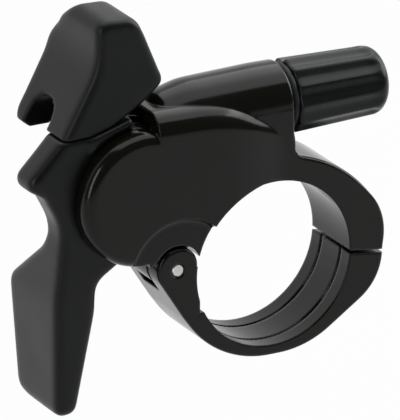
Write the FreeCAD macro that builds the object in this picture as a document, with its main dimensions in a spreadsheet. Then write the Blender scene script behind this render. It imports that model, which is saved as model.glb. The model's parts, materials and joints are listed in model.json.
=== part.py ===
import FreeCAD, Part
import math
import os
import Sketcher

# Fork lockout lever for a 22.2 mm handlebar.
# The origin is the centre of the bar clamp's bore, in the middle of its width.
# X runs along the cable barrel to the adjuster, Y runs along the handlebar with
# the front face at negative Y, and Z points up. All sizes are millimetres.

Vector = FreeCAD.Vector
Rotation = FreeCAD.Rotation

# Driving sizes

SIZES = {
    # Bar clamp
    "bar_diameter": 22.2,
    "clamp_play": 0.05,
    "clamp_width": 10.0,
    "clamp_end_wall": 4.9,
    "clamp_curve": 18.0,
    "split_gap": 0.5,
    "split_drop": 0.3,
    "split_slope": 0.7,
    "strap_wall": 1.45,
    "strap_groove_width": 0.5,
    "strap_groove_depth": 0.22,
    "edge_round": 0.45,
    # Cable barrel
    "barrel_height": 20.5,
    "barrel_radius": 5.0,
    "barrel_end": 3.05,
    "barrel_length": 20.05,
    "neck_height": 14.17,
    "neck_round": 2.2,
    "cable_hole_radius": 1.3,
    # Bulge in front of the barrel
    "bulge_front": 6.2,
    "bulge_top": 23.25,
    "bulge_nose": 18.9,
    "bulge_curve": 22.0,
    "bulge_round": 3.0,
    "bulge_blend": 6.4,
    "bulge_relief": 0.3,
    "cheek_radius": 9.0,
    "cheek_thickness": 2.6,
    "cheek_round": 1.6,
    # Lever pivot
    "pivot_reach": 18.7,
    "spool_radius": 8.3,
    "cable_radius": 0.8,
    "pocket_radius": 9.35,
    "hub_gap": 0.35,
    "ear_flat_reach": 8.2,
    "side_gap": 0.2,
    "hub_back": 2.2,
    "axle_radius": 2.0,
    "axle_blind": 1.3,
    "axle_neck_radius": 1.6,
    "bush_wall": 0.6,
    "bush_flange": 0.9,
    "bush_flange_thickness": 0.4,
    "running_gap": 0.05,
    "seat_gap": 0.02,
    # Lever
    "lever_thickness": 4.8,
    "lever_round": 1.0,
    "pad_width": 13.2,
    "pad_reach": 11.75,
    "pad_drop": 28.7,
    "pad_shoulder_drop": 13.0,
    "nose_reach": 15.2,
    "nose_rise": 4.3,
    "pad_root_thickness": 5.6,
    "pad_tip_thickness": 3.2,
    "collar_rise": 0.4,
    "detent_radius": 0.8,
    "detent_reach": 5.6,
    "detent_depth": 3.0,
    "anchor_radius": 1.25,
    # Thumb cap
    "cap_lift": 8.3,
    "cap_reach": 24.5,
    "cap_thumb_reach": 10.9,
    "cap_crest_reach": 5.6,
    "cap_leg_drop": 0.78,
    "seam_gap": 0.1,
    "cap_width": 3.5,
    "cap_overhang": 0.1,
    "cap_top_thickness": 5.0,
    "cap_round": 1.0,
    "notch_width": 5.5,
    "notch_height": 4.0,
    "notch_depth": 7.0,
    "tongue_thickness": 3.0,
    "tongue_width": 3.4,
    "tongue_height": 7.0,
    # Strap hinge
    "pin_reach": 2.7,
    "pin_height": 1.6,
    "pin_radius": 0.9,
    "ear_radius": 2.9,
    "socket_gap": 0.5,
    "lug_width": 4.0,
    "lug_gap": 0.1,
    "cove_radius": 7.35,
    "cove_round": 1.3,
    # Clamp screw
    "screw_radius": 1.25,
    "screw_core_radius": 1.05,
    "thread_gap": 0.2,
    "screw_head_radius": 2.1,
    "screw_head_height": 1.5,
    "screw_seat": 3.5,
    "screw_depth": 4.2,
    "washer_thickness": 0.4,
    # Rear cover
    "cover_back": 6.4,
    "cover_round": 0.6,
    "bar_room": 0.9,
    "small_screw_radius": 0.95,
    "small_head_radius": 1.8,
    "small_head_height": 0.9,
    "small_screw_length": 4.0,
    # Cable adjuster
    "stud_radius": 2.95,
    "stud_reach": 7.0,
    "seal_thickness": 0.93,
    "knob_radius": 5.0,
    "knob_room": 0.4,
    "knob_end_radius": 4.45,
    "knob_length": 13.55,
    "knob_round": 2.1,
    "flute_depth": 0.38,
    "flute_radius": 1.5,
    "flute_count": 12,
    "port_radius": 2.55,
    "port_depth": 8.0,
}

doc = FreeCAD.newDocument("fork_lockout_lever")
sheet = doc.addObject("Spreadsheet::Sheet", "Sizes")
for row, (alias, number) in enumerate(SIZES.items(), start=1):
    sheet.set(f"A{row}", alias)
    sheet.set(f"B{row}", str(number))
    sheet.setAlias(f"B{row}", alias)
doc.recompute()


class Length:
    """A length with the sheet formula that gives it."""

    def __init__(self, number, formula):
        self.number = float(number)
        self.formula = formula

    def __add__(self, other):
        other = as_length(other)
        return Length(self.number + other.number, f"({self.formula} + {other.formula})")

    def __sub__(self, other):
        other = as_length(other)
        return Length(self.number - other.number, f"({self.formula} - {other.formula})")

    def __mul__(self, factor):
        factor = as_length(factor)
        return Length(self.number * factor.number, f"({self.formula} * {factor.formula})")

    def __truediv__(self, factor):
        factor = as_length(factor)
        return Length(self.number / factor.number, f"({self.formula} / {factor.formula})")

    def __neg__(self):
        return Length(-self.number, f"(0 - {self.formula})")

    __radd__ = __add__
    __rmul__ = __mul__

    def __rsub__(self, other):
        return as_length(other) - self


def as_length(value):
    """Take a plain number or a Length as a Length."""
    if isinstance(value, Length):
        return value
    return Length(value, f"{float(value):.6f}")


def turned(radius, degrees):
    """Offset along X and Z of a point at this radius and angle."""
    angle = math.radians(degrees)
    return radius * math.cos(angle), radius * math.sin(angle)


class Sheet:
    """The sheet's cells, one attribute for each alias."""


size = Sheet()
for alias, number in SIZES.items():
    setattr(size, alias, Length(number, f"Sizes.{alias}"))


def bind(item, path, value):
    """Give a property its number and the formula that keeps it current."""
    item.setExpression(path, as_length(value).formula)


# Sketches and solids

FRONT_VIEW = Rotation(Vector(1, 0, 0), 90)
SIDE_VIEW = Rotation(Vector(1, 1, 1), 120)
PLAN_VIEW = Rotation()
DEPTH_AXIS = {"front": "y", "side": "x", "plan": "z"}
VIEWS = {"front": FRONT_VIEW, "side": SIDE_VIEW, "plan": PLAN_VIEW}


def point(corner):
    return Vector(as_length(corner[0]).number, as_length(corner[1]).number, 0)


def tie(sketch, kind, places, value):
    """Add a sketch dimension that follows its formula."""
    value = as_length(value)
    index = sketch.addConstraint(Sketcher.Constraint(kind, *places, value.number))
    bind(sketch, f"Constraints[{index}]", value)


def corner_arc(before, spot, after, radius):
    """Where a corner's rounding starts and ends, with its arc."""
    inward, outward = (before - spot).normalize(), (after - spot).normalize()
    half = inward.getAngle(outward) / 2
    start = spot + inward * (radius / math.tan(half))
    end = spot + outward * (radius / math.tan(half))
    centre = spot + (inward + outward).normalize() * (radius / math.sin(half))
    left_turn = inward.cross(outward).z < 0
    ends = (start, end) if left_turn else (end, start)
    angles = [math.atan2(place.y - centre.y, place.x - centre.x) for place in ends]
    arc = Part.ArcOfCircle(Part.Circle(centre, Vector(0, 0, 1), radius), angles[0], angles[1])
    return start, end, arc, left_turn


def draw(sketch, corners):
    """Draw a closed outline through corners given as two places and a rounding.

    Each corner is tied to its formulas. A corner without a rounding stays sharp.
    """
    count = len(corners)
    spots = [point(corner) for corner in corners]
    starts, ends, arcs = list(spots), list(spots), {}
    for number, corner in enumerate(corners):
        if len(corner) > 2:
            radius = as_length(corner[2]).number
            before, after = spots[number - 1], spots[(number + 1) % count]
            starts[number], ends[number], arc, left_turn = corner_arc(
                before, spots[number], after, radius)
            arcs[number] = (arc, left_turn)
    for number in range(count):
        sketch.addGeometry(Part.LineSegment(ends[number], starts[(number + 1) % count]))
    for number, corner in enumerate(corners):
        before = (number - 1) % count
        if number not in arcs:
            sketch.addConstraint(Sketcher.Constraint("Coincident", before, 2, number, 1))
            tie(sketch, "DistanceX", (-1, 1, number, 1), corner[0])
            tie(sketch, "DistanceY", (-1, 1, number, 1), corner[1])
            continue
        arc, left_turn = arcs[number]
        first, last = (1, 2) if left_turn else (2, 1)
        bend = sketch.addGeometry(arc)
        sharp = sketch.addGeometry(Part.Point(spots[number]), True)
        sketch.addConstraint([
            Sketcher.Constraint("Tangent", before, 2, bend, first),
            Sketcher.Constraint("Tangent", number, 1, bend, last),
            Sketcher.Constraint("PointOnObject", sharp, 1, before),
            Sketcher.Constraint("PointOnObject", sharp, 1, number),
        ])
        tie(sketch, "DistanceX", (-1, 1, sharp, 1), corner[0])
        tie(sketch, "DistanceY", (-1, 1, sharp, 1), corner[1])
        tie(sketch, "Radius", (bend,), corner[2])


def slab(name, view, outline, near, far):
    """A closed outline in one of the three views, made solid from near to far."""
    sketch = doc.addObject("Sketcher::SketchObject", name + "Outline")
    sketch.Placement = FreeCAD.Placement(Vector(), VIEWS[view])
    level = far if view == "front" else near
    bind(sketch, f"Placement.Base.{DEPTH_AXIS[view]}", level)
    draw(sketch, outline)
    solid = doc.addObject("Part::Extrusion", name)
    solid.Base = sketch
    solid.DirMode = "Normal"
    solid.Solid = True
    bind(solid, "LengthFwd", as_length(far) - near)
    return solid


def rod(name, direction, start, radius, length):
    """A cylinder that starts at a point and runs along a direction."""
    solid = doc.addObject("Part::Cylinder", name)
    solid.Placement = FreeCAD.Placement(Vector(), Rotation(Vector(0, 0, 1), Vector(*direction)))
    for axis, value in zip("xyz", start):
        bind(solid, f"Placement.Base.{axis}", value)
    bind(solid, "Radius", radius)
    bind(solid, "Height", length)
    return solid


def block(name, low, high):
    """A box between two corners."""
    solid = doc.addObject("Part::Box", name)
    for axis, side, first, last in zip("xyz", ("Length", "Width", "Height"), low, high):
        bind(solid, f"Placement.Base.{axis}", first)
        bind(solid, side, as_length(last) - first)
    return solid


def fuse(name, solids):
    result = doc.addObject("Part::MultiFuse", name)
    result.Shapes = solids
    result.Refine = True
    return result


def overlap(name, solids):
    result = doc.addObject("Part::MultiCommon", name)
    result.Shapes = solids
    result.Refine = True
    return result


def cut(name, base, tools):
    tool = tools[0] if len(tools) == 1 else fuse(name + "Tools", tools)
    result = doc.addObject("Part::Cut", name)
    result.Base = base
    result.Tool = tool
    result.Refine = True
    return result


def round_edges(name, base, radius, chosen):
    """Round those edges of a solid that the test picks."""
    doc.recompute()
    result = doc.addObject("Part::Fillet", name)
    result.Base = base
    amount = as_length(radius).number
    picked = [number for number, edge in enumerate(base.Shape.Edges, start=1) if chosen(edge)]
    if not picked:
        raise RuntimeError(f"{name}: no edge to round")
    result.Edges = [(number, amount, amount) for number in picked]
    return result


def middle(edge):
    return edge.valueAt((edge.FirstParameter + edge.LastParameter) / 2)


def at_level(axis, *levels):
    """Pick edges that lie whole in one of these levels of X, Y or Z."""
    low, high = axis.upper() + "Min", axis.upper() + "Max"

    def chosen(edge):
        box = edge.BoundBox
        flat = abs(getattr(box, low) - getattr(box, high)) < 1e-4
        spot = getattr(box, low)
        return flat and any(abs(spot - as_length(level).number) < 1e-4 for level in levels)
    return chosen


def turned_body(name, direction, start, profile, socket=None):
    """A body turned about its own Z axis from corners given as radius and height.

    The body then points along direction from start. A socket is the level, the
    radius and the depth of a hexagon sunk into the top.
    """
    body = doc.addObject("PartDesign::Body", name)
    sketch = body.newObject("Sketcher::SketchObject", name + "Profile")
    sketch.AttachmentSupport = [(origin_part(body, "XZ_Plane"), "")]
    sketch.MapMode = "FlatFace"
    draw(sketch, profile)
    turn = body.newObject("PartDesign::Revolution", name + "Turn")
    turn.Profile = sketch
    turn.ReferenceAxis = (sketch, ["V_Axis"])
    turn.Angle = 360
    body.Tip = turn
    if socket:
        sink_hexagon(body, name, *socket)
    body.Placement = FreeCAD.Placement(Vector(), Rotation(Vector(0, 0, 1), Vector(*direction)))
    for axis, value in zip("xyz", start):
        bind(body, f"Placement.Base.{axis}", value)
    return body


def origin_part(body, role):
    """One of the planes or axes of a body's own origin."""
    return [item for item in body.Origin.OriginFeatures if item.Role == role][0]


def hexagon_corners(radius, centre=(0, 0)):
    corners = []
    for number in range(6):
        along, up = turned(as_length(radius), 60 * number)
        corners.append((centre[0] + along, centre[1] + up))
    return corners


def sink_hexagon(body, name, level, radius, depth):
    """Sink a hexagon socket into a body from this level."""
    sketch = body.newObject("Sketcher::SketchObject", name + "Hexagon")
    sketch.AttachmentSupport = [(origin_part(body, "XY_Plane"), "")]
    sketch.MapMode = "FlatFace"
    bind(sketch, "AttachmentOffset.Base.z", level)
    draw(sketch, hexagon_corners(radius))
    pocket = body.newObject("PartDesign::Pocket", name + "Socket")
    pocket.Profile = sketch
    bind(pocket, "Length", depth)
    body.Tip = pocket


# Places that several pieces share

bore_radius = size.bar_diameter / 2 + size.clamp_play
half_width = size.clamp_width / 2
front = -half_width
back = half_width
ring_reach = bore_radius + size.clamp_end_wall
pin_x = -(bore_radius + size.pin_reach)
pin_z = size.pin_height
pivot_x = -size.pivot_reach
pivot_z = size.barrel_height - size.spool_radius
wall_end = size.barrel_end - size.barrel_length
bulge_face = -size.bulge_front
cheek_back = bulge_face + size.cheek_thickness
lever_front = cheek_back + size.side_gap
lever_back = lever_front + size.lever_thickness
hub_radius = size.pocket_radius - size.hub_gap
pad_back = lever_front + size.pad_width
pad_face = pivot_x - size.pad_reach
pad_tip = pivot_z - size.pad_drop
shoulder_z = pivot_z - size.pad_shoulder_drop
nose_x = pivot_x - size.nose_reach
nose_z = pivot_z + size.nose_rise
cap_foot = pivot_z + size.cap_lift
cap_top = pivot_z + size.cap_reach
thumb_x = pivot_x - size.cap_thumb_reach
notch_front = lever_back + 0.3
notch_rear = notch_front + size.notch_width
cover_face = size.hub_back + 2 * size.side_gap
screw_x = bore_radius + 0.46 * size.clamp_end_wall
far_out = 2 * size.clamp_width
socket_radius = size.ear_radius + size.socket_gap
tongue_x = pivot_x - 4.2
tongue_y = lever_front + size.lever_thickness / 2
cap_screw_z = cap_foot + 0.7 * size.tongue_height
cap_screw_tip = tongue_x - 0.3 * size.tongue_width
cap_screw_seat = tongue_x + size.tongue_width / 2 + 1.2
split_top = -size.split_drop
split_low = split_top - size.split_gap
slope = size.split_slope

ANCHOR_ANGLE = 130
DETENT_ANGLE = 60
DETENT_SWEEP = 34
EAR_FLAT_ANGLE = -75


def hub_spot(degrees):
    """Place in the hub for the cable's anchor or the detent ball."""
    along, up = turned(size.detent_reach, degrees)
    return pivot_x + along, pivot_z + up


def cover_screw_spots():
    """Where the two screws hold the rear cover to the housing."""
    upper = (wall_end + size.spool_radius + 0.34 * size.barrel_radius,
             size.barrel_height - 0.6 * size.barrel_radius)
    lower = (upper[0] + 0.52 * size.barrel_radius, upper[1] - 0.92 * size.barrel_radius)
    return [upper, lower]


# Housing

def housing_outline():
    """Upper clamp half, the web under the barrel and the wall down to the hinge."""
    return [
        (size.barrel_end, size.barrel_height),
        (size.barrel_end, size.neck_height, size.neck_round),
        (0.9 * bore_radius, 1.075 * bore_radius, size.clamp_curve),
        (ring_reach + 0.65, 0.35 * bore_radius, 0.45 * size.clamp_curve),
        (ring_reach, split_top - slope),
        (bore_radius, split_top),
        (size.edge_round, split_top),
        (pin_x + size.ear_radius, pin_z + size.edge_round),
        (pin_x, pin_z),
        (pin_x - 0.74 * size.ear_radius, pin_z + 0.83 * size.ear_radius),
        (pin_x - 1.35 * size.ear_radius, pin_z + 0.36 * size.ear_radius),
        (pin_x - 1.35 * size.ear_radius, pin_z + size.ear_radius),
        (wall_end, size.barrel_height),
    ]


def make_bulge():
    """The swelling in front of the barrel, blended into the clamp's flat front."""
    outline = [
        (wall_end, size.bulge_top),
        (wall_end + 0.5 * size.barrel_length, size.bulge_top - 0.3, size.bulge_curve),
        (size.barrel_end, size.bulge_nose),
        (size.barrel_end, bore_radius),
        (size.edge_round, bore_radius / 2),
        (pin_x + size.ear_radius, pin_z + size.edge_round),
        (pin_x, pin_z),
        (wall_end, pin_z + size.ear_radius),
    ]
    body = slab("BulgeBlock", "front", outline, bulge_face, half_width / 2)
    blend_end = size.barrel_end - 0.37 * size.barrel_radius
    blend_start = blend_end - size.bulge_blend
    plan = [
        (wall_end - size.edge_round, bulge_face),
        (blend_start, bulge_face, 2.8 * size.clamp_width),
        (blend_end, front, size.clamp_width),
        (size.barrel_end + size.edge_round, front),
        (size.barrel_end + size.edge_round, back),
        (wall_end - size.edge_round, back),
    ]
    blend = slab("BulgeBlend", "plan", plan, 0, size.bulge_top + size.edge_round)
    shaped = overlap("BulgeShape", [body, blend])
    top_edge = size.bulge_nose.number - 0.1

    def front_top(edge):
        return edge.BoundBox.ZMin > top_edge and middle(edge).y < front.number + 0.01 \
            and edge.BoundBox.XLength > 0.1

    return round_edges("BulgeRounded", shaped, size.bulge_round, front_top)


def make_barrel():
    """The cable barrel, turned about the cable line with a drawn-in left end."""
    axis = size.barrel_height
    radius = size.barrel_radius
    sketch = doc.addObject("Sketcher::SketchObject", "BarrelProfile")
    sketch.Placement = FreeCAD.Placement(Vector(), FRONT_VIEW)
    draw(sketch, [
        (size.barrel_end, axis),
        (wall_end + size.edge_round, axis),
        (wall_end + size.edge_round, axis + 0.28 * radius),
        (wall_end + 0.42 * radius, axis + 0.75 * radius, 0.45 * radius),
        (wall_end + 1.3 * radius, axis + 0.95 * radius, 2 * radius),
        (size.barrel_end - 0.65 * radius, axis + radius, 12 * radius),
        (size.barrel_end, axis + 0.985 * radius, size.edge_round),
    ])
    barrel = doc.addObject("Part::Revolution", "Barrel")
    barrel.Source = sketch
    barrel.Axis = Vector(1, 0, 0)
    barrel.Angle = 360
    barrel.Solid = True
    bind(barrel, "Base.z", axis)
    return barrel


def outer_ring_edge(edge):
    """Edges of the clamp's outer curve on its front and back faces."""
    spot = middle(edge)
    on_face = abs(abs(spot.y) - half_width.number) < 1e-4 and edge.BoundBox.YLength < 1e-4
    outside = math.hypot(spot.x, spot.z) > bore_radius.number + 1.9
    return on_face and outside and spot.x > size.barrel_end.number - 0.01 and spot.z > split_top.number


def make_housing():
    wall = slab("ClampWall", "front", housing_outline(), front, back)
    wall = round_edges("ClampWallRounded", wall, size.edge_round, outer_ring_edge)
    cheek = rod("Cheek", (0, -1, 0), (pivot_x, cheek_back, pivot_z), size.cheek_radius,
                size.cheek_thickness)
    cheek = round_edges("CheekRounded", cheek, size.cheek_round, at_level("y", bulge_face))
    mass = fuse("HousingMass", [wall, make_bulge(), make_barrel(), cheek])

    socket = rod("EarSocket", (0, 1, 0), (pin_x, -far_out, pin_z), socket_radius, 2 * far_out)
    cove_floor = front + size.seat_gap
    cove = rod("CoveBlank", (0, -1, 0), (pin_x, cove_floor, pin_z), size.cove_radius, half_width)
    cove = round_edges("CoveTool", cove, size.cove_round, at_level("y", cove_floor))
    carved = cut("HousingCarved", mass, [socket, cove])

    lug_half = size.lug_width / 2
    lug_disc = rod("LugDisc", (0, 1, 0), (pin_x, -lug_half, pin_z), size.ear_radius,
                   size.lug_width)
    lug_neck = block("LugNeck", (pin_x - size.ear_radius, -lug_half, pin_z),
                     (pin_x + size.ear_radius, lug_half, pin_z + 1.5 * size.ear_radius))
    joined = fuse("HousingWithLug", [carved, lug_disc, lug_neck])

    tools = [
        rod("BarBore", (0, 1, 0), (0, -far_out, 0), bore_radius, 2 * far_out),
        rod("BulgeRelief", (0, -1, 0), (0, front, 0), bore_radius + size.bulge_relief,
            far_out),
        rod("HubPocket", (0, 1, 0), (pivot_x, cheek_back, pivot_z), size.pocket_radius, far_out),
        block("LeverWay", (pivot_x - far_out, cheek_back, pin_z),
              (wall_end, far_out, pivot_z + far_out)),
        rod("PinHole", (0, 1, 0), (pin_x, -far_out, pin_z), size.pin_radius + size.running_gap,
            2 * far_out),
        rod("StudHole", (-1, 0, 0), (size.barrel_end + size.edge_round, 0, size.barrel_height),
            size.stud_radius + size.running_gap, size.stud_reach + size.edge_round),
        rod("KnobRoom", (1, 0, 0), (size.barrel_end, 0, size.barrel_height),
            size.knob_radius + size.knob_room, far_out),
        rod("CableHole", (-1, 0, 0), (size.barrel_end, 0, size.barrel_height),
            size.cable_hole_radius, size.barrel_length + size.edge_round),
        rod("AxleSeat", (0, -1, 0), (pivot_x, cheek_back + size.edge_round, pivot_z),
            size.axle_radius + size.seat_gap, size.axle_blind + size.edge_round),
        rod("ClampThread", (0, 0, 1), (screw_x, 0, -far_out / 4),
            size.screw_core_radius + size.thread_gap, size.screw_depth + far_out / 4),
        detent_track(),
    ]
    for number, spot in enumerate(cover_screw_spots(), start=1):
        tools.append(rod(f"CoverThread{number}", (0, -1, 0),
                         (spot[0], back + size.edge_round, spot[1]),
                         size.small_screw_radius + size.seat_gap,
                         size.small_screw_length + size.edge_round))
    return cut("housing", joined, tools)


def detent_track():
    """Curved groove in the cheek in which the detent ball runs."""
    track = doc.addObject("Part::Torus", "DetentTrack")
    lead = DETENT_ANGLE - DETENT_SWEEP / 6
    track.Placement = FreeCAD.Placement(Vector(), FRONT_VIEW * Rotation(Vector(0, 0, 1), lead))
    for axis, value in zip("xyz", (pivot_x, ball_level(), pivot_z)):
        bind(track, f"Placement.Base.{axis}", value)
    bind(track, "Radius1", size.detent_reach)
    bind(track, "Radius2", size.detent_radius + size.running_gap)
    track.Angle3 = DETENT_SWEEP
    return track


def ball_level():
    return cheek_back + size.detent_radius / 2


# Rear cover and the axle

def make_cover():
    disc_radius = size.pocket_radius - 2 * size.running_gap
    plug = rod("CoverPlug", (0, 1, 0), (pivot_x, cover_face, pivot_z), disc_radius,
               size.cover_back - cover_face)
    upper, lower = cover_screw_spots()
    rim = 1.35 * size.small_head_radius
    flange = slab("CoverFlange", "front", [
        (pivot_x, pivot_z + 0.94 * disc_radius),
        (upper[0] + rim, upper[1] + rim, rim),
        (lower[0] + rim, lower[1], rim),
        (lower[0] + 0.5 * rim, lower[1] - rim, 0.7 * rim),
        (pivot_x + 0.5 * disc_radius, pivot_z - 0.7 * disc_radius),
        (pivot_x, pivot_z),
    ], back + size.seat_gap, size.cover_back)
    blank = fuse("CoverBlank", [plug, flange])
    blank = round_edges("CoverRounded", blank, size.cover_round,
                        at_level("y", size.cover_back))
    tools = [
        rod("CoverBarRoom", (0, 1, 0), (0, 0, 0), bore_radius + size.bar_room, far_out),
        rod("CoverEarRoom", (0, 1, 0), (pin_x, 0, pin_z), socket_radius, far_out),
        rod("CoverAxleHole", (0, 1, 0), (pivot_x, 0, pivot_z),
            size.axle_neck_radius + size.seat_gap, far_out),
        rod("CoverAxleHead", (0, 1, 0),
            (pivot_x, size.cover_back - size.small_head_height, pivot_z),
            size.small_head_radius + size.running_gap, far_out),
    ]
    for number, spot in enumerate((upper, lower), start=1):
        tools.append(rod(f"CoverHole{number}", (0, 1, 0), (spot[0], 0, spot[1]),
                         size.small_screw_radius + 2 * size.running_gap, far_out))
    anchor = hub_spot(ANCHOR_ANGLE)
    tools.append(rod("CoverAccess", (0, 1, 0), (anchor[0], 0, anchor[1]),
                     size.anchor_radius + size.thread_gap, far_out))
    return cut("rear_cover", blank, tools)


def make_cover_screws():
    """Two socket head screws, one solid each, kept as one group."""
    screws = []
    low = back - size.small_screw_length + 0.3
    top = size.cover_back + size.small_head_height
    for number, spot in enumerate(cover_screw_spots(), start=1):
        head = rod(f"CoverHead{number}", (0, 1, 0), (spot[0], size.cover_back, spot[1]),
                   size.small_head_radius, size.small_head_height)
        head = round_edges(f"CoverHeadRounded{number}", head, size.small_head_height / 3,
                           at_level("y", top))
        shank = rod(f"CoverShank{number}", (0, 1, 0), (spot[0], low, spot[1]),
                    size.small_screw_radius, size.cover_back - low)
        whole = fuse(f"CoverScrew{number}", [head, shank])
        key = slab(f"CoverKey{number}", "front", hexagon_corners(
            0.5 * size.small_head_radius, spot), top - 0.8 * size.small_head_height, top + 1)
        screws.append(cut(f"CoverScrewDriven{number}", whole, [key]))
    group = doc.addObject("Part::Compound", "cover_screws")
    group.Links = screws
    return group


def make_axle():
    """Stepped axle, seated in the cheek and drawn to the rear cover by its screw."""
    low = cheek_back - size.axle_blind + size.seat_gap
    shoulder = cover_face - low
    top = size.cover_back - size.small_head_height - low - size.seat_gap
    hole = size.small_screw_radius + size.seat_gap
    depth = shoulder - size.small_screw_length / 4
    return turned_body("pivot_axle", (0, 1, 0), (pivot_x, low, pivot_z), [
        (0, 0),
        (size.axle_radius, 0),
        (size.axle_radius, shoulder),
        (size.axle_neck_radius, shoulder),
        (size.axle_neck_radius, top),
        (hole, top),
        (hole, depth),
        (0, depth),
    ])


def make_axle_screw():
    low = cover_face - size.small_screw_length / 4 + 0.2
    seat = size.cover_back - size.small_head_height - low
    top = seat + size.small_head_height - 2 * size.running_gap
    return turned_body("axle_screw", (0, 1, 0), (pivot_x, low, pivot_z), [
        (0, 0),
        (size.small_screw_radius, 0),
        (size.small_screw_radius, seat),
        (size.small_head_radius, seat),
        (size.small_head_radius, top),
        (0, top),
    ], (top, 0.5 * size.small_head_radius, 0.6 * size.small_head_height))


def washer(name, direction, start, inner, outer, thickness):
    return turned_body(name, direction, start, [
        (inner, 0),
        (outer, 0),
        (outer, thickness),
        (inner, thickness),
    ])


def make_bush(name, direction, level):
    """Flanged bush pressed into the hub from one of its faces."""
    inner = size.axle_radius + size.running_gap
    outer = size.axle_radius + size.bush_wall
    rim = outer + size.bush_flange
    length = (size.hub_back - lever_front) / 2 - size.running_gap
    return turned_body(name, direction, (pivot_x, level, pivot_z), [
        (inner, 0),
        (rim, 0),
        (rim, size.bush_flange_thickness),
        (outer, size.bush_flange_thickness),
        (outer, length),
        (inner, length),
    ])


# Lever

def lever_outline():
    """Lever seen from the front: stem, nose, neck, paddle and the way to the hub."""
    return [
        (thumb_x + size.seam_gap, cap_foot + 0.6 - size.seam_gap),
        (nose_x, nose_z, 0.8),
        (nose_x + 0.1, nose_z - 1.4, 0.6),
        (nose_x + 2.3, nose_z - 2.8, 1.2),
        (pad_face + 1.15, pivot_z - hub_radius / 3, 7.0),
        (pad_face, shoulder_z, 18.0),
        (pad_face, pad_tip, 1.3),
        (pad_face + size.pad_tip_thickness - 0.2, pad_tip + 0.4, 1.3),
        (pad_face + size.pad_root_thickness + 0.3, shoulder_z - 1.8, 12.0),
        (pad_face + size.pad_root_thickness + 0.4, shoulder_z + 1.8, 2.5),
        (pivot_x - 2.2, pivot_z - hub_radius + 0.25),
        (pivot_x, pivot_z - 0.6 * hub_radius),
        (pivot_x - 1.0, pivot_z),
        (pivot_x - 1.0, cap_foot + 2.3),
        (pivot_x - 3.1, cap_foot + 1.6),
        (pivot_x - 6.6, cap_foot + 0.6),
    ]


def lever_side():
    """Lever seen from the left: a narrow stem and a paddle that widens to the back."""
    top = cap_foot + 3
    return [
        (lever_front, top),
        (lever_front, pad_tip, 1.6),
        (pad_back - 6.4, pad_tip - 0.1, 4.0),
        (pad_back - 1.7, pad_tip + 0.9, 1.8),
        (pad_back + 0.5, shoulder_z, 2.2),
        (lever_back, pivot_z - hub_radius + 3.3, 5.0),
        (lever_back, top),
    ]


def tongue(name, gap):
    """Tongue of the lever inside the thumb cap, or the slot for it."""
    half_x, half_y = size.tongue_width / 2 + gap, size.tongue_thickness / 2 + gap
    return block(name, (tongue_x - half_x, tongue_y - half_y, cap_foot),
                 (tongue_x + half_x, tongue_y + half_y, cap_foot + size.tongue_height + gap))


def cap_screw_hole(name, radius, start):
    """Hole along X for the screw that holds the cap on its tongue."""
    return rod(name, (-1, 0, 0), (start, tongue_y, cap_screw_z), radius, start - cap_screw_tip)


def ear_flat():
    """Room beside the hub for the strap's ear while the lever rocks."""
    corners = []
    for reach, offset in ((1, -5), (1, 5), (1.4, 5), (1.4, -5)):
        along, up = turned(reach * size.ear_flat_reach, EAR_FLAT_ANGLE)
        aside, over = turned(as_length(offset), EAR_FLAT_ANGLE + 90)
        corners.append((pivot_x + along + aside, pivot_z + up + over))
    return slab("EarFlat", "front", corners, -far_out, far_out)


def lever_edge(edge):
    """The front outline away from the hub, and the paddle's rear outline."""
    spot = middle(edge)
    reach = math.hypot(spot.x - pivot_x.number, spot.z - pivot_z.number)
    outside = reach > hub_radius.number + 1.2 and spot.z < cap_foot.number - 1
    in_front = abs(spot.y - lever_front.number) < 1e-4 and edge.Length > 0.3
    rear_slope = spot.y > lever_back.number + 4 and spot.z > 0 and spot.x < pad_face.number + 1
    return outside and (in_front or rear_slope)


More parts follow.
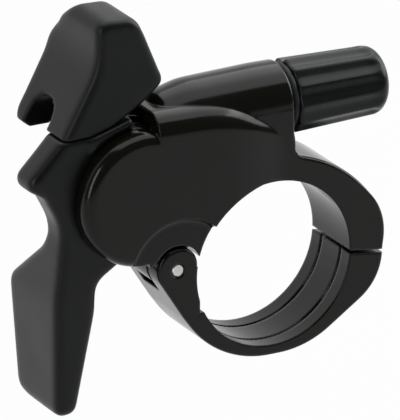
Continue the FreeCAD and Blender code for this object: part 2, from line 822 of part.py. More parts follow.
def make_lever():
    profile = slab("LeverFront", "front", lever_outline(), lever_front, pad_back + 1)
    side = slab("LeverSide", "side", lever_side(), pivot_x - far_out, pivot_x + far_out)
    arm = overlap("LeverShape", [profile, side])
    arm = round_edges("LeverRounded", arm, size.lever_round, lever_edge)
    hub = rod("Hub", (0, 1, 0), (pivot_x, lever_front, pivot_z), hub_radius,
              size.hub_back - lever_front)
    collar = slab("CollarBlank", "front", [
        (pivot_x - 6.5, pivot_z),
        (pivot_x - 6.5, cap_foot + 0.5),
        (pivot_x - 3.1, cap_foot + 1.5),
        (pivot_x - 1.0, cap_foot + 2.2),
        (pivot_x - 1.0, pivot_z),
    ], lever_front - size.collar_rise, lever_front + size.edge_round)
    inside = rod("CollarArc", (0, 1, 0), (pivot_x, -far_out, pivot_z),
                 size.cheek_radius + size.socket_gap, far_out + lever_front)
    collar = cut("Collar", collar, [inside])
    whole = fuse("LeverWhole", [arm, hub, collar, tongue("Tongue", 0)])

    groove_half = size.cable_radius + size.running_gap
    groove_floor = size.spool_radius - size.cable_radius
    ring = rod("GrooveOuter", (0, 1, 0), (pivot_x, -groove_half, pivot_z),
               size.pocket_radius, 2 * groove_half)
    core = rod("GrooveCore", (0, 1, 0), (pivot_x, -groove_half, pivot_z),
               groove_floor, 2 * groove_half)
    ring = cut("CableGroove", ring, [core])
    way = block("GrooveWay", (pivot_x - 0.72 * hub_radius, -far_out, pivot_z - far_out),
                (pivot_x + far_out, far_out, pivot_z + far_out))
    bush = size.axle_radius + size.bush_wall + size.seat_gap
    rim = bush + size.bush_flange
    depth = size.bush_flange_thickness + size.seat_gap
    anchor, ball = hub_spot(ANCHOR_ANGLE), hub_spot(DETENT_ANGLE)
    along, up = turned(as_length(1), ANCHOR_ANGLE)
    tools = [
        overlap("GrooveTool", [ring, way]),
        rod("HubBore", (0, 1, 0), (pivot_x, -far_out, pivot_z), bush, 2 * far_out),
        rod("FrontFlange", (0, -1, 0), (pivot_x, lever_front + depth, pivot_z), rim, far_out),
        rod("RearFlange", (0, 1, 0), (pivot_x, size.hub_back - depth, pivot_z), rim, far_out),
        rod("CoverRoom", (0, 1, 0), (pivot_x, size.hub_back, pivot_z),
            size.pocket_radius + size.hub_gap, far_out),
        ear_flat(),
        rod("AnchorThread", (0, 1, 0), (anchor[0], -size.hub_back, anchor[1]),
            size.anchor_radius + size.seat_gap, far_out),
        rod("AnchorCableHole", (along.number, 0, up.number), (anchor[0], 0, anchor[1]),
            size.cable_radius, size.spool_radius - size.detent_reach),
        rod("DetentHole", (0, -1, 0), (ball[0], lever_front + size.detent_depth, ball[1]),
            size.detent_radius + size.running_gap, far_out),
        cap_screw_hole("TongueThread", size.small_screw_radius + size.seat_gap, cap_screw_seat),
    ]
    return cut("lever_arm", whole, tools)


def make_anchor_screw():
    anchor = hub_spot(ANCHOR_ANGLE)
    low = -size.hub_back + size.running_gap
    top = size.hub_back - size.edge_round - low
    return turned_body("cable_anchor_screw", (0, 1, 0), (anchor[0], low, anchor[1]), [
        (0, 0),
        (0.7 * size.anchor_radius, 0),
        (size.anchor_radius, 0.3 * size.anchor_radius),
        (size.anchor_radius, top),
        (0, top),
    ], (top, 0.6 * size.anchor_radius, size.anchor_radius))


def make_detent_ball():
    ball = doc.addObject("Part::Sphere", "detent_ball")
    spot = hub_spot(DETENT_ANGLE)
    for axis, value in zip("xyz", (spot[0], ball_level(), spot[1])):
        bind(ball, f"Placement.Base.{axis}", value)
    bind(ball, "Radius", size.detent_radius)
    return ball


def make_detent_spring():
    """Small coil spring that pushes the detent ball against the cheek."""
    wire = 0.14 * size.detent_radius.number
    coil = 0.72 * size.detent_radius.number
    low = ball_level().number + size.detent_radius.number + 1.2 * wire
    high = lever_front.number + size.detent_depth.number - 1.2 * wire
    helix = Part.makeHelix((high - low) / 4, high - low, coil)
    ring = Part.Wire(Part.makeCircle(wire, Vector(coil, 0, 0), Vector(0, 1, 0)))
    spot = hub_spot(DETENT_ANGLE)
    spring = doc.addObject("Part::Feature", "detent_spring")
    spring.Shape = Part.Wire(helix.Edges).makePipeShell([ring], True, True)
    spring.Placement = FreeCAD.Placement(Vector(spot[0].number, low, spot[1].number),
                                         Rotation(Vector(0, 0, 1), Vector(0, 1, 0)))
    return spring


# Thumb cap

def cap_seam():
    """The line on which the cap sits on the lever, from its thumb side rightwards."""
    return [
        (thumb_x, cap_foot + 0.6),
        (pivot_x - 6.6, cap_foot + 0.7),
        (pivot_x - 3.1, cap_foot + 1.7),
        (pivot_x - 1.0, cap_foot + 2.5),
        (pivot_x + 1.2, cap_foot + 4.0),
    ]


def cap_outline():
    """Upper thumb block seen from the front, hollowed for the thumb on its left."""
    crest = pivot_x - size.cap_crest_reach
    leg = cap_foot - size.cap_leg_drop
    return [
        (crest, cap_foot + 9.6, 9.0),
        (crest, cap_top, 1.7),
        (crest + size.cap_top_thickness + 0.7, cap_top - 0.4, 2.2),
        (pivot_x + size.cap_width + 0.5, cap_foot + 6.3, 1.5),
        cap_seam()[-1],
        (pivot_x - 4.2, cap_foot + 1.3),
        (pivot_x - 7.0, leg),
        (thumb_x + 1.0, leg),
        (thumb_x, leg + 0.9),
    ]


def cap_side():
    """Thumb block seen from the left, with its high front and sloped back."""
    near = lever_front - size.cap_overhang
    low = cap_foot - size.cap_leg_drop - size.edge_round
    high = cap_top + 0.5
    return [
        (near, low),
        (near, high, 1.8),
        (near + 7.2, high, 2.4),
        (pad_back + 0.9, cap_foot + 11.2, 3.0),
        (pad_back + 0.5, low, 2.6),
    ]


def cap_edge(edge):
    """Edges all round the cap above its seat on the lever."""
    return edge.BoundBox.ZMax > cap_foot.number + 4.2 and edge.Length > 0.05


def make_cap():
    near = lever_front - size.cap_overhang
    outline = slab("CapFront", "front", cap_outline(), near, pad_back + 1)
    side = slab("CapSide", "side", cap_side(), pivot_x - far_out, pivot_x + far_out)
    blank = overlap("CapShape", [outline, side])
    blank = round_edges("CapRounded", blank, size.cap_round, cap_edge)
    crown = cap_foot + size.notch_height
    roof = 0.45 * size.notch_width
    low = cap_foot - 4
    notch = slab("CapNotch", "side", [
        (notch_front, low),
        (notch_front, crown, roof),
        (notch_rear, crown, roof),
        (notch_rear, low),
    ], pivot_x - far_out, thumb_x + size.notch_depth)
    seat = [(thumb_x - 4, cap_foot + 0.6), *cap_seam(), (pivot_x + 5, cap_foot + 4.0),
            (pivot_x + 5, low), (thumb_x - 4, low)]
    tools = [
        notch,
        slab("CapSeat", "front", seat, -far_out, notch_rear),
        tongue("TongueSlot", size.seat_gap),
        cap_screw_hole("CapScrewHole", size.small_screw_radius + size.running_gap,
                       pivot_x + far_out),
        rod("CapHeadRoom", (1, 0, 0), (cap_screw_seat, tongue_y, cap_screw_z),
            size.small_head_radius + size.running_gap, far_out),
    ]
    return cut("thumb_cap", blank, tools)


def make_cap_screw():
    """Screw that holds the thumb cap on the lever's tongue, seen on the right."""
    shank = cap_screw_seat - cap_screw_tip - size.running_gap
    top = shank + size.small_head_height
    return turned_body("cap_screw", (1, 0, 0),
                       (cap_screw_tip + size.running_gap, tongue_y, cap_screw_z), [
        (0, 0),
        (size.small_screw_radius, 0),
        (size.small_screw_radius, shank),
        (size.small_head_radius, shank),
        (size.small_head_radius, top, 0.3 * size.small_head_height),
        (0, top),
    ], (top, 0.5 * size.small_head_radius, 0.6 * size.small_head_height))


# Strap and its screw

def strap_outline():
    """Lower clamp half from its split face round to the hinge ear."""
    floor = -(bore_radius + size.strap_wall)
    ear_top = pin_z + size.ear_radius
    ear_right = pin_x + size.ear_radius
    return [
        (ring_reach, split_low - slope),
        (ring_reach - 0.35, -0.48 * bore_radius, 7.5),
        (0.45 * bore_radius, floor, 13.0),
        (-0.68 * bore_radius, floor, 14.0),
        (-1.15 * bore_radius, -0.48 * bore_radius, 9.0),
        (pin_x - 1.79 * size.ear_radius, ear_top, size.ear_radius),
        (ear_right, ear_top, 0.88 * size.ear_radius),
        (ear_right, pin_z),
        (0, split_low),
        (bore_radius, split_low),
    ]


def outer_strap_edge(edge):
    """Edges of the strap's outer curve on its front and back faces."""
    spot = middle(edge)
    on_face = abs(abs(spot.y) - half_width.number) < 1e-4 and edge.BoundBox.YLength < 1e-4
    outside = math.hypot(spot.x, spot.z) > bore_radius.number + 0.9
    return on_face and outside and -bore_radius.number < spot.z < split_low.number - 1


def make_strap():
    ring = slab("StrapBlock", "front", strap_outline(), front, back)
    whole = round_edges("StrapRounded", ring, size.edge_round, outer_strap_edge)
    slot_half = size.lug_width / 2 + size.lug_gap
    slot_floor = pin_z - socket_radius
    tools = [
        rod("StrapBore", (0, 1, 0), (0, -far_out, 0), bore_radius, 2 * far_out),
        block("EarSlot", (pin_x - 2 * size.ear_radius, -slot_half, slot_floor),
              (pin_x + 1.5 * size.ear_radius, slot_half, pin_z + 2 * size.ear_radius)),
        block("EarStep", (-0.96 * bore_radius, -far_out, -0.43 * bore_radius),
              (-0.5 * bore_radius, far_out, 0)),
        rod("EarHole", (0, 1, 0), (pin_x, -far_out, pin_z), size.pin_radius + size.running_gap,
            2 * far_out),
        rod("ScrewHole", (0, 0, -1), (screw_x, 0, 0), size.screw_radius + size.running_gap,
            far_out),
        rod("HeadRoom", (0, 0, -1), (screw_x, 0, -size.screw_seat),
            size.screw_head_radius + 4 * size.running_gap, far_out),
    ]
    for number, place in enumerate((front / 2, back / 2), start=1):
        tools.append(rod(f"StrapGroove{number}", (0, 1, 0),
                         (0, place - size.strap_groove_width / 2, 0),
                         bore_radius + size.strap_groove_depth, size.strap_groove_width))
    return cut("clamp_strap", whole, tools)


def make_clamp_screw():
    """Socket head screw that closes the strap, drawn from its tip to its head."""
    tip = size.screw_depth - 0.3
    neck = tip - split_low + slope
    seat = tip + size.screw_seat + size.washer_thickness
    top = seat + size.screw_head_height
    return turned_body("clamp_screw", (0, 0, -1), (screw_x, 0, tip), [
        (0, 0),
        (size.screw_core_radius, 0),
        (size.screw_core_radius, neck),
        (size.screw_radius, neck),
        (size.screw_radius, seat),
        (size.screw_head_radius, seat),
        (size.screw_head_radius, top, 0.2 * size.screw_head_height),
        (0, top),
    ], (top, 0.55 * size.screw_head_radius, 0.6 * size.screw_head_height))


def make_hinge_pin():
    length = size.clamp_width - 2 * size.running_gap
    chamfer = size.pin_radius / 5
    return turned_body("hinge_pin", (0, 1, 0), (pin_x, front + size.running_gap, pin_z), [
        (0, 0),
        (size.pin_radius - chamfer, 0),
        (size.pin_radius, chamfer),
        (size.pin_radius, length - chamfer),
        (size.pin_radius - chamfer, length),
        (0, length),
    ])


# Cable adjuster

knob_start = size.barrel_end + size.seal_thickness + 3 * size.running_gap


def make_knob():
    """Fluted knob, turned and then cut by a ring of shallow round-ended flutes."""
    inner = size.stud_radius + size.seat_gap
    length, bend = size.knob_length, size.knob_round
    body = turned_body("adjuster_knob", (1, 0, 0), (knob_start, 0, size.barrel_height), [
        (inner, 0),
        (size.knob_radius, 0, 0.4),
        (size.knob_end_radius, length, 0.66 * bend),
        (inner, length),
    ])
    sketch = body.newObject("Sketcher::SketchObject", "FluteProfile")
    sketch.AttachmentSupport = [(origin_part(body, "XZ_Plane"), "")]
    sketch.MapMode = "FlatFace"
    reach = size.flute_radius
    centre = size.knob_radius - size.flute_depth + reach
    draw(sketch, [
        (centre, -reach),
        (centre, length - bend),
        (centre - reach, length - bend, 0.95 * reach),
        (centre - reach, -reach),
    ])
    groove = body.newObject("PartDesign::Groove", "Flute")
    groove.Profile = sketch
    groove.ReferenceAxis = (sketch, ["Edge1"])
    groove.Angle = 360
    body.Tip = groove
    doc.recompute()
    ring = body.newObject("PartDesign::PolarPattern", "Flutes")
    ring.Originals = [groove]
    ring.Axis = (origin_part(body, "Z_Axis"), [""])
    ring.Angle = 360
    bind(ring, "Occurrences", size.flute_count)
    body.Tip = ring
    return body


def make_stud():
    """Threaded barrel of the adjuster with the seat for the cable's outer casing."""
    low = size.barrel_end - size.stud_reach + 0.3
    length = knob_start + size.knob_length - 0.6 - low
    bore = size.cable_hole_radius - 0.2
    floor = length - size.port_depth
    lead = 0.4
    return turned_body("adjuster_barrel", (1, 0, 0), (low, 0, size.barrel_height), [
        (bore, 0),
        (size.stud_radius - lead, 0),
        (size.stud_radius, lead),
        (size.stud_radius, length),
        (size.port_radius, length),
        (size.port_radius, floor),
        (bore, floor - 0.8),
    ])


def make_seal():
    inner = size.stud_radius + size.seat_gap
    outer = size.knob_radius - size.edge_round
    start = size.barrel_end + 2 * size.running_gap
    bend = 0.45 * size.seal_thickness
    return turned_body("seal_ring", (1, 0, 0), (start, 0, size.barrel_height), [
        (inner, 0),
        (outer, 0, bend),
        (outer, size.seal_thickness, bend),
        (inner, size.seal_thickness),
    ])


pieces = [
    make_housing(),
    make_cover(),
    make_cover_screws(),
    make_axle(),
    make_axle_screw(),
    washer("thrust_washer", (0, 1, 0), (pivot_x, size.hub_back + size.running_gap, pivot_z),
           size.axle_radius + size.running_gap, 2.1 * size.axle_radius,
           size.side_gap + 2 * size.running_gap),
    make_hinge_pin(),
    make_lever(),
    make_bush("axle_bush_front", (0, 1, 0), lever_front),
    make_bush("axle_bush_rear", (0, -1, 0), size.hub_back),
    make_anchor_screw(),
    make_detent_ball(),
    make_detent_spring(),
    make_cap(),
    make_cap_screw(),
    make_strap(),
    make_clamp_screw(),
    washer("clamp_washer", (0, 0, -1), (screw_x, 0, -size.screw_seat),
           size.screw_radius + size.running_gap, size.screw_head_radius + size.running_gap,
           size.washer_thickness),
    make_knob(),
    make_stud(),
    make_seal(),
]
doc.recompute()

# Checks and files

for item in doc.Objects:
    if "Invalid" in item.State or "Error" in item.State:
        raise RuntimeError(f"{item.Name} failed: {item.State}")
for piece in pieces:
    if piece.Shape.isNull() or not piece.Shape.isValid():
        raise RuntimeError(f"{piece.Name} has no valid shape")

os.makedirs("parts", exist_ok=True)
for piece in pieces:
    piece.Label = piece.Name
    piece.Shape.exportStep(f"parts/{piece.Label}.step")
    print(piece.Label, len(piece.Shape.Solids), round(piece.Shape.Volume, 2))
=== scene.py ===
import json
import math

import bmesh
import bpy
from mathutils import Matrix, Vector


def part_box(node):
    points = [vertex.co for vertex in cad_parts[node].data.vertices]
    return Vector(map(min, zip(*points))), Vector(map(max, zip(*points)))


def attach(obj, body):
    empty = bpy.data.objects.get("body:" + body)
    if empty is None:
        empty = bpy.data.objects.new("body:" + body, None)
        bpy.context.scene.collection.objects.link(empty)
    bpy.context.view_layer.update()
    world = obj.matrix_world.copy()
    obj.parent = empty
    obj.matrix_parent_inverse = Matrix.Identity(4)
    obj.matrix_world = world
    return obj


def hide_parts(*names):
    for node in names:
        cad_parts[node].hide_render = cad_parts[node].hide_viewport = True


MM = 0.001

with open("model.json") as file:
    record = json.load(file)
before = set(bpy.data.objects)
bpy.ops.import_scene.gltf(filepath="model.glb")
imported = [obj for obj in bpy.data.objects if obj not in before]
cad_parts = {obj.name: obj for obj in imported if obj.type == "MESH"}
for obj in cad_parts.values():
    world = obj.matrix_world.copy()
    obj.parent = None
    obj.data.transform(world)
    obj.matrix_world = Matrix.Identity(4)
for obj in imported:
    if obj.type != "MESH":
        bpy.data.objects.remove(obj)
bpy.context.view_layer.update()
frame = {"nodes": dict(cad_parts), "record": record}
nodes = frame["nodes"]


# Materials

EDGE_SAMPLES = 4
SOFT_SAMPLES = 8

# The dot product of a bevelled normal with the true one, at an edge and on flat ground
EDGE_TURN = (0.75, 0.98)


class Shader:
    """A node material under construction, with short ways to add its parts."""

    def __init__(self, name):
        self.material = bpy.data.materials.new(name)
        self.material.use_nodes = True
        self.tree = self.material.node_tree
        self.surface = self.tree.nodes["Principled BSDF"]
        self.place = self.tree.nodes.new("ShaderNodeTexCoord").outputs["Object"]

    def add(self, kind, **values):
        node = self.tree.nodes.new(kind)
        for key, value in values.items():
            setattr(node, key, value)
        return node

    def link(self, source, target):
        self.tree.links.new(source, target)

    def noise(self, size_mm, detail=3.0, stretch=(1, 1, 1)):
        """Cloudy noise whose features are about this many millimetres across."""
        mapping = self.add("ShaderNodeMapping")
        mapping.inputs["Scale"].default_value = stretch
        self.link(self.place, mapping.inputs["Vector"])
        node = self.add("ShaderNodeTexNoise")
        node.inputs["Scale"].default_value = 1 / (size_mm * MM)
        node.inputs["Detail"].default_value = detail
        self.link(mapping.outputs["Vector"], node.inputs["Vector"])
        return node.outputs["Fac"]

    def spread(self, source, low, high, start=0.3, end=0.7):
        """Stretch a value so that start to end becomes low to high."""
        node = self.add("ShaderNodeMapRange")
        node.inputs["From Min"].default_value = start
        node.inputs["From Max"].default_value = end
        node.inputs["To Min"].default_value = low
        node.inputs["To Max"].default_value = high
        self.link(source, node.inputs["Value"])
        return node.outputs["Result"]

    def edges(self, reach_mm):
        """One near an edge and nought on flat ground."""
        bevel = self.add("ShaderNodeBevel", samples=EDGE_SAMPLES)
        bevel.inputs["Radius"].default_value = reach_mm * MM
        geometry = self.add("ShaderNodeNewGeometry")
        dot = self.add("ShaderNodeVectorMath", operation="DOT_PRODUCT")
        self.link(bevel.outputs["Normal"], dot.inputs[0])
        self.link(geometry.outputs["Normal"], dot.inputs[1])
        return self.spread(dot.outputs["Value"], 1.0, 0.0, *EDGE_TURN)

    def colour(self, base, worn, factor):
        """Blend the base colour to the worn colour by a factor."""
        mix = self.add("ShaderNodeMix", data_type="RGBA")
        mix.inputs["A"].default_value = (*base, 1)
        mix.inputs["B"].default_value = (*worn, 1)
        self.link(factor, mix.inputs["Factor"])
        self.link(mix.outputs["Result"], self.surface.inputs["Base Color"])

    def multiply(self, first, second):
        node = self.add("ShaderNodeMath", operation="MULTIPLY")
        self.link(first, node.inputs[0])
        self.link(second, node.inputs[1])
        return node.outputs["Value"]

    def roughness(self, source, low, high):
        self.link(self.spread(source, low, high), self.surface.inputs["Roughness"])

    def soft_normal(self, radius_mm):
        """Normals that turn over an edge as a casting's rounding of this radius does."""
        bevel = self.add("ShaderNodeBevel", samples=SOFT_SAMPLES)
        bevel.inputs["Radius"].default_value = radius_mm * MM
        return bevel.outputs["Normal"]

    def bump(self, *layers, before=None):
        """Stack bumps, each a height source with its depth in millimetres."""
        for height, depth_mm in layers:
            node = self.add("ShaderNodeBump")
            node.inputs["Distance"].default_value = depth_mm * MM
            node.inputs["Strength"].default_value = 1.0
            self.link(height, node.inputs["Height"])
            if before:
                self.link(before, node.inputs["Normal"])
            before = node.outputs["Normal"]
        self.link(before, self.surface.inputs["Normal"])


BLOTCH_MM = 6.0
BLOTCH_GLOSSIER = 0.04
BLOTCH_DULLER = 0.05
RUB_REACH_MM = 0.25
RUB_PATCH_MM = 1.6
WAVE_MM = 9.0


def moulded(name, base, worn, rough, grain_mm, grain_depth_mm, gloss=0.5, wave_depth_mm=0.0,
            soft_mm=0.3):
    """Plastic or paint: fine grain, long waves, uneven gloss and rubbed edges."""
    shader = Shader(name)
    shader.surface.inputs["Specular IOR Level"].default_value = gloss
    blotch = shader.noise(BLOTCH_MM, detail=4.0)
    near_edge = shader.edges(RUB_REACH_MM)
    rub = shader.multiply(near_edge, shader.spread(shader.noise(RUB_PATCH_MM), 0.0, 1.0))
    shader.colour(base, worn, rub)
    shader.roughness(blotch, rough - BLOTCH_GLOSSIER, rough + BLOTCH_DULLER)
    layers = [(shader.noise(grain_mm, detail=2.0), grain_depth_mm)]
    if wave_depth_mm:
        layers.append((shader.noise(WAVE_MM, detail=1.0), wave_depth_mm))
    shader.bump(*layers, before=shader.soft_normal(soft_mm))
    return shader.material


SMUDGE_MM = 1.5
SMUDGE_SHADE = 0.8
SMUDGE_GLOSSIER = 0.05
SMUDGE_DULLER = 0.1
LINE_STRETCH = (1, 0.06, 1)
LINE_DEPTH_MM = 0.004


def steel(name, base, rough, line_mm):
    """Bright metal with fine lines along Y and a few smudges."""
    shader = Shader(name)
    shader.surface.inputs["Metallic"].default_value = 1.0
    smudge = shader.noise(SMUDGE_MM, detail=4.0)
    shader.colour(base, tuple(SMUDGE_SHADE * part for part in base), smudge)
    shader.roughness(smudge, rough - SMUDGE_GLOSSIER, rough + SMUDGE_DULLER)
    lines = shader.noise(line_mm, detail=2.0, stretch=LINE_STRETCH)
    shader.bump((lines, LINE_DEPTH_MM))
    return shader.material


moulded_looks = {
    "body_black": dict(base=(0.0048, 0.0048, 0.0032), worn=(0.016, 0.016, 0.015), rough=0.14,
                       grain_mm=0.12, grain_depth_mm=0.0006, gloss=0.26, wave_depth_mm=0.003,
                       soft_mm=0.45),
    "lever_black": dict(base=(0.0045, 0.0045, 0.0045), worn=(0.016, 0.016, 0.016), rough=0.32,
                        grain_mm=0.16, grain_depth_mm=0.002, gloss=0.25, soft_mm=0.6),
    "cap_grey": dict(base=(0.0052, 0.0053, 0.0054), worn=(0.018, 0.018, 0.018), rough=0.38,
                     grain_mm=0.14, grain_depth_mm=0.003, gloss=0.24, soft_mm=0.6),
    "knob_black": dict(base=(0.0068, 0.0074, 0.0076), worn=(0.018, 0.018, 0.018), rough=0.28,
                       grain_mm=0.15, grain_depth_mm=0.002, gloss=0.22, soft_mm=0.4),
    "seal_rubber": dict(base=(0.008, 0.008, 0.008), worn=(0.02, 0.02, 0.02), rough=0.6,
                        grain_mm=0.1, grain_depth_mm=0.004, gloss=0.3),
    "screw_black": dict(base=(0.014, 0.014, 0.0145), worn=(0.12, 0.12, 0.12), rough=0.34,
                        grain_mm=0.08, grain_depth_mm=0.003),
    "nylon": dict(base=(0.62, 0.6, 0.54), worn=(0.7, 0.68, 0.62), rough=0.45,
                  grain_mm=0.2, grain_depth_mm=0.003),
}
finishes = {name: moulded(name, **look) for name, look in moulded_looks.items()}
finishes["pin_steel"] = steel("pin_steel", base=(0.76, 0.75, 0.72), rough=0.3, line_mm=0.12)
slot_of = {entry["node"]: entry["material_slot"] for entry in frame["record"]["subparts"]}


def dress(mesh, name):
    """Give a mesh the finish of a node's slot, and smooth shading."""
    mesh.materials.clear()
    mesh.materials.append(finishes[slot_of[name]])
    mesh.polygons.foreach_set("use_smooth", [True] * len(mesh.polygons))


for name, node in nodes.items():
    dress(node.data, name)


# Moulded skins, with the soft edges that a rubbery mould leaves, in millimetres

SKIN_VOXEL = 0.25
SMOOTH_FACTOR = 0.5
CAP_PASSES = 26
LEVER_PASSES = 28


def settle(piece):
    """Turn a piece's modifiers into its mesh."""
    shaped = piece.evaluated_get(bpy.context.evaluated_depsgraph_get())
    mesh = bpy.data.meshes.new_from_object(shaped)
    piece.modifiers.clear()
    piece.data = mesh


def skin(name, body, voxel_mm, passes, freedom):
    """Stand in for a node with a copy whose edges are smoothed where freedom says one."""
    piece = bpy.data.objects.new(name + "_skin", nodes[name].data.copy())
    bpy.context.scene.collection.objects.link(piece)
    remesh = piece.modifiers.new("remesh", "REMESH")
    remesh.mode = "VOXEL"
    remesh.voxel_size = voxel_mm * MM
    settle(piece)
    free = piece.vertex_groups.new(name="free")
    for vertex in piece.data.vertices:
        free.add([vertex.index], freedom(vertex.co / MM), "REPLACE")
    smooth = piece.modifiers.new("smooth", "SMOOTH")
    smooth.factor = SMOOTH_FACTOR
    smooth.iterations = passes
    smooth.vertex_group = free.name
    settle(piece)
    piece.vertex_groups.clear()
    dress(piece.data, name)
    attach(piece, body)
    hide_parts(name)
    return piece


def ease(value, start, end):
    """A smooth step from nought at start to one at end."""
    share = min(max((value - start) / (end - start), 0.0), 1.0)
    return share * share * (3 - 2 * share)


# The seam between cap and lever is level up to this X, and rises from there as a parabola
SEAM_LEVEL = 21.2
SEAM_LEVEL_END = -25.3
SEAM_BEND = 0.054
SEAM_LEAST = 0.12
SEAM_REACH = 3.0

# The notch's round top has its centre at this Y and Z
NOTCH_CENTRE = (4.45, 21.9)
NOTCH_HALF = 2.75
NOTCH_LEAST = 0.25
NOTCH_REACH = 2.0

# The lever's pivot is at this X and Z
PIVOT = (-18.7, 12.2)
HUB_RADIUS = 9.0
HUB_LEAST = 0.1
HUB_FADE = (0.5, 2.5)
SEAT_FADE = (-1.0, 2.0)


def cap_freedom(place):
    """The seam on the lever and the rim of the cable notch stay nearly crisp."""
    seam = SEAM_LEVEL + SEAM_BEND * max(place.x - SEAM_LEVEL_END, 0.0) ** 2
    above_seam = SEAM_LEAST + ease(place.z - seam, 0.0, SEAM_REACH)
    from_notch = math.hypot(place.y - NOTCH_CENTRE[0], max(place.z - NOTCH_CENTRE[1], 0.0))
    clear_of_notch = NOTCH_LEAST + ease(from_notch, NOTCH_HALF, NOTCH_HALF + NOTCH_REACH)
    return min(above_seam, clear_of_notch, 1.0)


def lever_freedom(place):
    """The hub and the seat of the cap stay nearly crisp, the stem and the paddle go soft."""
    from_hub = math.hypot(place.x - PIVOT[0], place.z - PIVOT[1]) - HUB_RADIUS
    below_cap = ease(SEAM_LEVEL - place.z, *SEAT_FADE)
    return HUB_LEAST + (1 - HUB_LEAST) * min(ease(from_hub, *HUB_FADE), below_cap)


CREST_FADE = (33.0, 36.5)
CREST_DROP = 0.4
SHOULDER_LEVEL = 32.3
SHOULDER_SPREAD = 1.6
SHOULDER_FADE = (5.0, 9.0)
SHOULDER_DROP = 0.8


def relax_cap(mesh):
    """Lower the crest a little and flatten the shoulder behind it."""
    for vertex in mesh.vertices:
        x, y, z = vertex.co / MM
        down = CREST_DROP * ease(z, *CREST_FADE)
        at_shoulder = math.exp(-((z - SHOULDER_LEVEL) / SHOULDER_SPREAD) ** 2)
        forward = SHOULDER_DROP * (at_shoulder * ease(y, *SHOULDER_FADE))
        vertex.co = Vector((x, y - forward, z - down)) * MM


cap = skin("thumb_cap", "lever_body", SKIN_VOXEL, CAP_PASSES, cap_freedom)
relax_cap(cap.data)
skin("lever_arm", "lever_body", SKIN_VOXEL, LEVER_PASSES, lever_freedom)


# Adjuster knob, with broad shallow flutes that run nearly to its rounded end, in millimetres

KNOB_END_RADIUS = 4.45
KNOB_BORE = 3.02
KNOB_LIP = 0.4
KNOB_BEND = 1.7
LIP_ANGLES = range(0, 90, 15)
BEND_ANGLES = range(0, 91, 9)
STRAIGHT_ROWS = 30
FLUTES = 12
FLUTE_DEPTH = 0.34
FLUTE_FADE = (0.9, 2.6)
FLUTE_ROUNDING = 1.5
FLUTE_SIDE_LEAD = 1.0
STEPS_PER_FLUTE = 16
STEPS_PER_RING = FLUTES * STEPS_PER_FLUTE
SHARP_ANGLE = math.radians(40)


def knob_rows(length, radius):
    """Distances along the knob and radii of its skin, from the seal to the rounded end."""
    straight = length - KNOB_BEND - KNOB_LIP
    lip = [KNOB_LIP * (1 - math.cos(math.radians(angle))) for angle in LIP_ANGLES]
    middle = [KNOB_LIP + straight * step / STRAIGHT_ROWS for step in range(STRAIGHT_ROWS)]
    end = [length - KNOB_BEND * (1 - math.sin(math.radians(angle))) for angle in BEND_ANGLES]
    rows = []
    for along in lip + middle + end:
        at_lip = max(KNOB_LIP - along, 0.0)
        at_end = max(along - length + KNOB_BEND, 0.0)
        drop = KNOB_LIP - math.sqrt(KNOB_LIP ** 2 - at_lip ** 2)
        drop += KNOB_BEND - math.sqrt(max(KNOB_BEND ** 2 - at_end ** 2, 0.0))
        rows.append((along, radius + (KNOB_END_RADIUS - radius) * along / length - drop))
    return rows


def flute_cut(along, length, turn):
    """Depth of the flutes at a place along the knob and a share of a full turn.

    Side is nought at a flute's bottom and one on the ridge, where the flute ends sooner.
    """
    side = abs(2 * ((turn * FLUTES) % 1.0) - 1)
    valley = 1 - side * side * (FLUTE_ROUNDING - (FLUTE_ROUNDING - 1) * side * side)
    left = length - along - FLUTE_SIDE_LEAD * side * side
    return FLUTE_DEPTH * valley * ease(left, *FLUTE_FADE)


def knob_ring(start, along, reach, length, level):
    """One ring of points round the knob's axis, fluted where it is outside the bore."""
    points = []
    for step in range(STEPS_PER_RING):
        turn = step / STEPS_PER_RING
        cut = flute_cut(along, length, turn) if reach > KNOB_BORE else 0.0
        angle = 2 * math.pi * turn
        points.append(Vector((start + along, (reach - cut) * math.cos(angle),
                              level + (reach - cut) * math.sin(angle))) * MM)
    return points


def ring_faces(rings):
    """Squares from each ring to the next one, and from the last to the first."""
    faces = []
    for row in range(rings):
        here = row * STEPS_PER_RING
        there = (row + 1) % rings * STEPS_PER_RING
        for step in range(STEPS_PER_RING):
            beside = (step + 1) % STEPS_PER_RING
            faces.append((here + step, here + beside, there + beside, there + step))
    return faces


def make_knob():
    """A fluted sleeve in the box of the node's solid, down its skin and back by its bore."""
    low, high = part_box("adjuster_knob")
    start, length = low[0] / MM, (high[0] - low[0]) / MM
    radius = (high[2] - low[2]) / 2 / MM
    level = (low[2] + high[2]) / 2 / MM
    rows = knob_rows(length, radius) + [(length, KNOB_BORE), (0.0, KNOB_BORE)]
    points = []
    for along, reach in rows:
        points += knob_ring(start, along, reach, length, level)
    mesh = bpy.data.meshes.new("knob_skin")
    mesh.from_pydata(points, [], ring_faces(len(rows)))
    shape = bmesh.new()
    shape.from_mesh(mesh)
    bmesh.ops.recalc_face_normals(shape, faces=shape.faces)
    shape.to_mesh(mesh)
    shape.free()
    dress(mesh, "adjuster_knob")
    mesh.set_sharp_from_angle(angle=SHARP_ANGLE)
    knob = bpy.data.objects.new("adjuster_knob_skin", mesh)
    bpy.context.scene.collection.objects.link(knob)
    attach(knob, "adjuster_body")
    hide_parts("adjuster_knob")


make_knob()


# Floor, world and lights, in metres

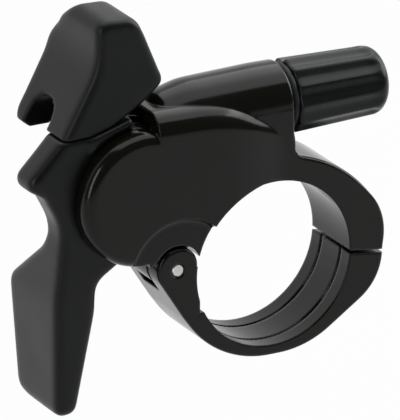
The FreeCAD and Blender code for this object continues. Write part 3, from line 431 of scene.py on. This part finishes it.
def white_backdrop(tree, plain, whiteness, behind):
    """Mix a plain shader with a white one, which the caller links to the last input.

    The camera sees the white everywhere. Reflections see it as far as behind says, which
    is a value from nought at the camera's side to one at the backdrop.
    """
    path = tree.nodes.new("ShaderNodeLightPath")
    mirrored = tree.nodes.new("ShaderNodeMath")
    mirrored.operation = "MULTIPLY"
    tree.links.new(path.outputs["Is Glossy Ray"], mirrored.inputs[0])
    tree.links.new(behind, mirrored.inputs[1])
    seen = path.outputs["Is Camera Ray"]
    for other in (path.outputs["Is Transmission Ray"], mirrored.outputs["Value"]):
        either = tree.nodes.new("ShaderNodeMath")
        either.operation = "MAXIMUM"
        tree.links.new(seen, either.inputs[0])
        tree.links.new(other, either.inputs[1])
        seen = either.outputs["Value"]
    share = tree.nodes.new("ShaderNodeMath")
    share.operation = "MULTIPLY"
    share.inputs[1].default_value = whiteness
    tree.links.new(seen, share.inputs[0])
    mix = tree.nodes.new("ShaderNodeMixShader")
    tree.links.new(share.outputs["Value"], mix.inputs["Fac"])
    tree.links.new(plain, mix.inputs[1])
    return mix


def ramp_along_y(tree, place, start, end):
    """Nought below start and one above end, along Y of a place or direction."""
    parts = tree.nodes.new("ShaderNodeSeparateXYZ")
    tree.links.new(place, parts.inputs["Vector"])
    ramp = tree.nodes.new("ShaderNodeMapRange")
    ramp.interpolation_type = "SMOOTHSTEP"
    ramp.inputs["From Min"].default_value = start
    ramp.inputs["From Max"].default_value = end
    tree.links.new(parts.outputs["Y"], ramp.inputs["Value"])
    return ramp.outputs["Result"]


FLOOR_LEVEL = -60 * MM
FLOOR_HALF = 1.2
FLOOR_COLOUR = (0.75, 0.75, 0.75, 1)
FLOOR_ROUGHNESS = 0.9
FLOOR_WHITENESS = 0.93
FLOOR_RAMP = (-0.05, 0.05)


def make_floor():
    """A wide grey floor below the part, which the camera sees as nearly white."""
    corners = [(-FLOOR_HALF, -FLOOR_HALF), (FLOOR_HALF, -FLOOR_HALF),
               (FLOOR_HALF, FLOOR_HALF), (-FLOOR_HALF, FLOOR_HALF)]
    mesh = bpy.data.meshes.new("floor")
    mesh.from_pydata([(x, y, FLOOR_LEVEL) for x, y in corners], [], [(0, 1, 2, 3)])
    floor = bpy.data.objects.new("floor", mesh)
    bpy.context.scene.collection.objects.link(floor)
    material = bpy.data.materials.new("floor")
    material.use_nodes = True
    tree = material.node_tree
    surface = tree.nodes["Principled BSDF"]
    surface.inputs["Base Color"].default_value = FLOOR_COLOUR
    surface.inputs["Roughness"].default_value = FLOOR_ROUGHNESS
    white = tree.nodes.new("ShaderNodeEmission")
    place = tree.nodes.new("ShaderNodeNewGeometry").outputs["Position"]
    behind = ramp_along_y(tree, place, *FLOOR_RAMP)
    mix = white_backdrop(tree, surface.outputs["BSDF"], FLOOR_WHITENESS, behind)
    tree.links.new(white.outputs["Emission"], mix.inputs[2])
    tree.links.new(mix.outputs["Shader"], tree.nodes["Material Output"].inputs["Surface"])
    mesh.materials.append(material)


WORLD_COLOUR = (0.8, 0.82, 0.85, 1)
WORLD_STRENGTH = 0.11
WORLD_WHITE = (1, 1, 1, 1)
WORLD_WHITENESS = 1.0
WORLD_RAMP = (-0.1, 0.3)


def make_world():
    """A dim studio round the part, with a white backdrop behind it."""
    world = bpy.data.worlds.new("studio")
    bpy.context.scene.world = world
    world.use_nodes = True
    tree = world.node_tree
    dim = tree.nodes["Background"]
    dim.inputs["Color"].default_value = WORLD_COLOUR
    dim.inputs["Strength"].default_value = WORLD_STRENGTH
    white = tree.nodes.new("ShaderNodeBackground")
    white.inputs["Color"].default_value = WORLD_WHITE
    way = tree.nodes.new("ShaderNodeTexCoord").outputs["Generated"]
    behind = ramp_along_y(tree, way, *WORLD_RAMP)
    mix = white_backdrop(tree, dim.outputs["Background"], WORLD_WHITENESS, behind)
    tree.links.new(white.outputs["Background"], mix.inputs[2])
    tree.links.new(mix.outputs["Shader"], tree.nodes["World Output"].inputs["Surface"])


LAMP_COLOUR = (0.97, 1.0, 0.99)
LAMP_TARGET = (-8 * MM, 0, 8 * MM)


def softbox(name, place, width, height, power):
    """A rectangular lamp that faces the part, with its power in watts."""
    light = bpy.data.lights.new(name, "AREA")
    light.shape = "RECTANGLE"
    light.size = width
    light.size_y = height
    light.energy = power
    light.color = LAMP_COLOUR
    lamp = bpy.data.objects.new(name, light)
    way = Vector(LAMP_TARGET) - Vector(place)
    turn = way.to_track_quat("-Z", "Y").to_matrix().to_4x4()
    lamp.matrix_world = Matrix.Translation(place) @ turn
    bpy.context.scene.collection.objects.link(lamp)


make_floor()
make_world()
softbox("key", (-0.6, -0.35, 0.22), width=0.14, height=0.5, power=1.2)
softbox("top", (0.15, 0.05, 0.6), width=0.8, height=0.9, power=4.3)
softbox("right", (0.62, -0.05, 0.3), width=0.5, height=0.5, power=3.0)


# Camera, at the photograph's angle and scale

PIXELS_PER_MM = 7.84
IMAGE_HEIGHT = 420
SENSOR_MM = 36.0
DISTANCE = 1.0
AIM = Vector((-7.13, 1.66, 6.36)) * MM
RIGHT = Vector((0.880, -0.474, 0.0)).normalized()
BACK = Vector((-0.4418, -0.8202, 0.3631)).normalized()


def make_camera():
    """A camera with the lens that gives the photograph's scale at its distance."""
    camera = bpy.data.cameras.new("camera")
    camera.sensor_width = SENSOR_MM
    camera.lens = SENSOR_MM * DISTANCE / (IMAGE_HEIGHT / PIXELS_PER_MM * MM)
    holder = bpy.data.objects.new("camera", camera)
    up = BACK.cross(RIGHT)
    axes = Matrix((RIGHT, up, BACK)).transposed().to_4x4()
    holder.matrix_world = Matrix.Translation(AIM + BACK * DISTANCE) @ axes
    bpy.context.scene.collection.objects.link(holder)
    bpy.context.scene.camera = holder


make_camera()
bpy.context.scene.view_settings.view_transform = "Standard"
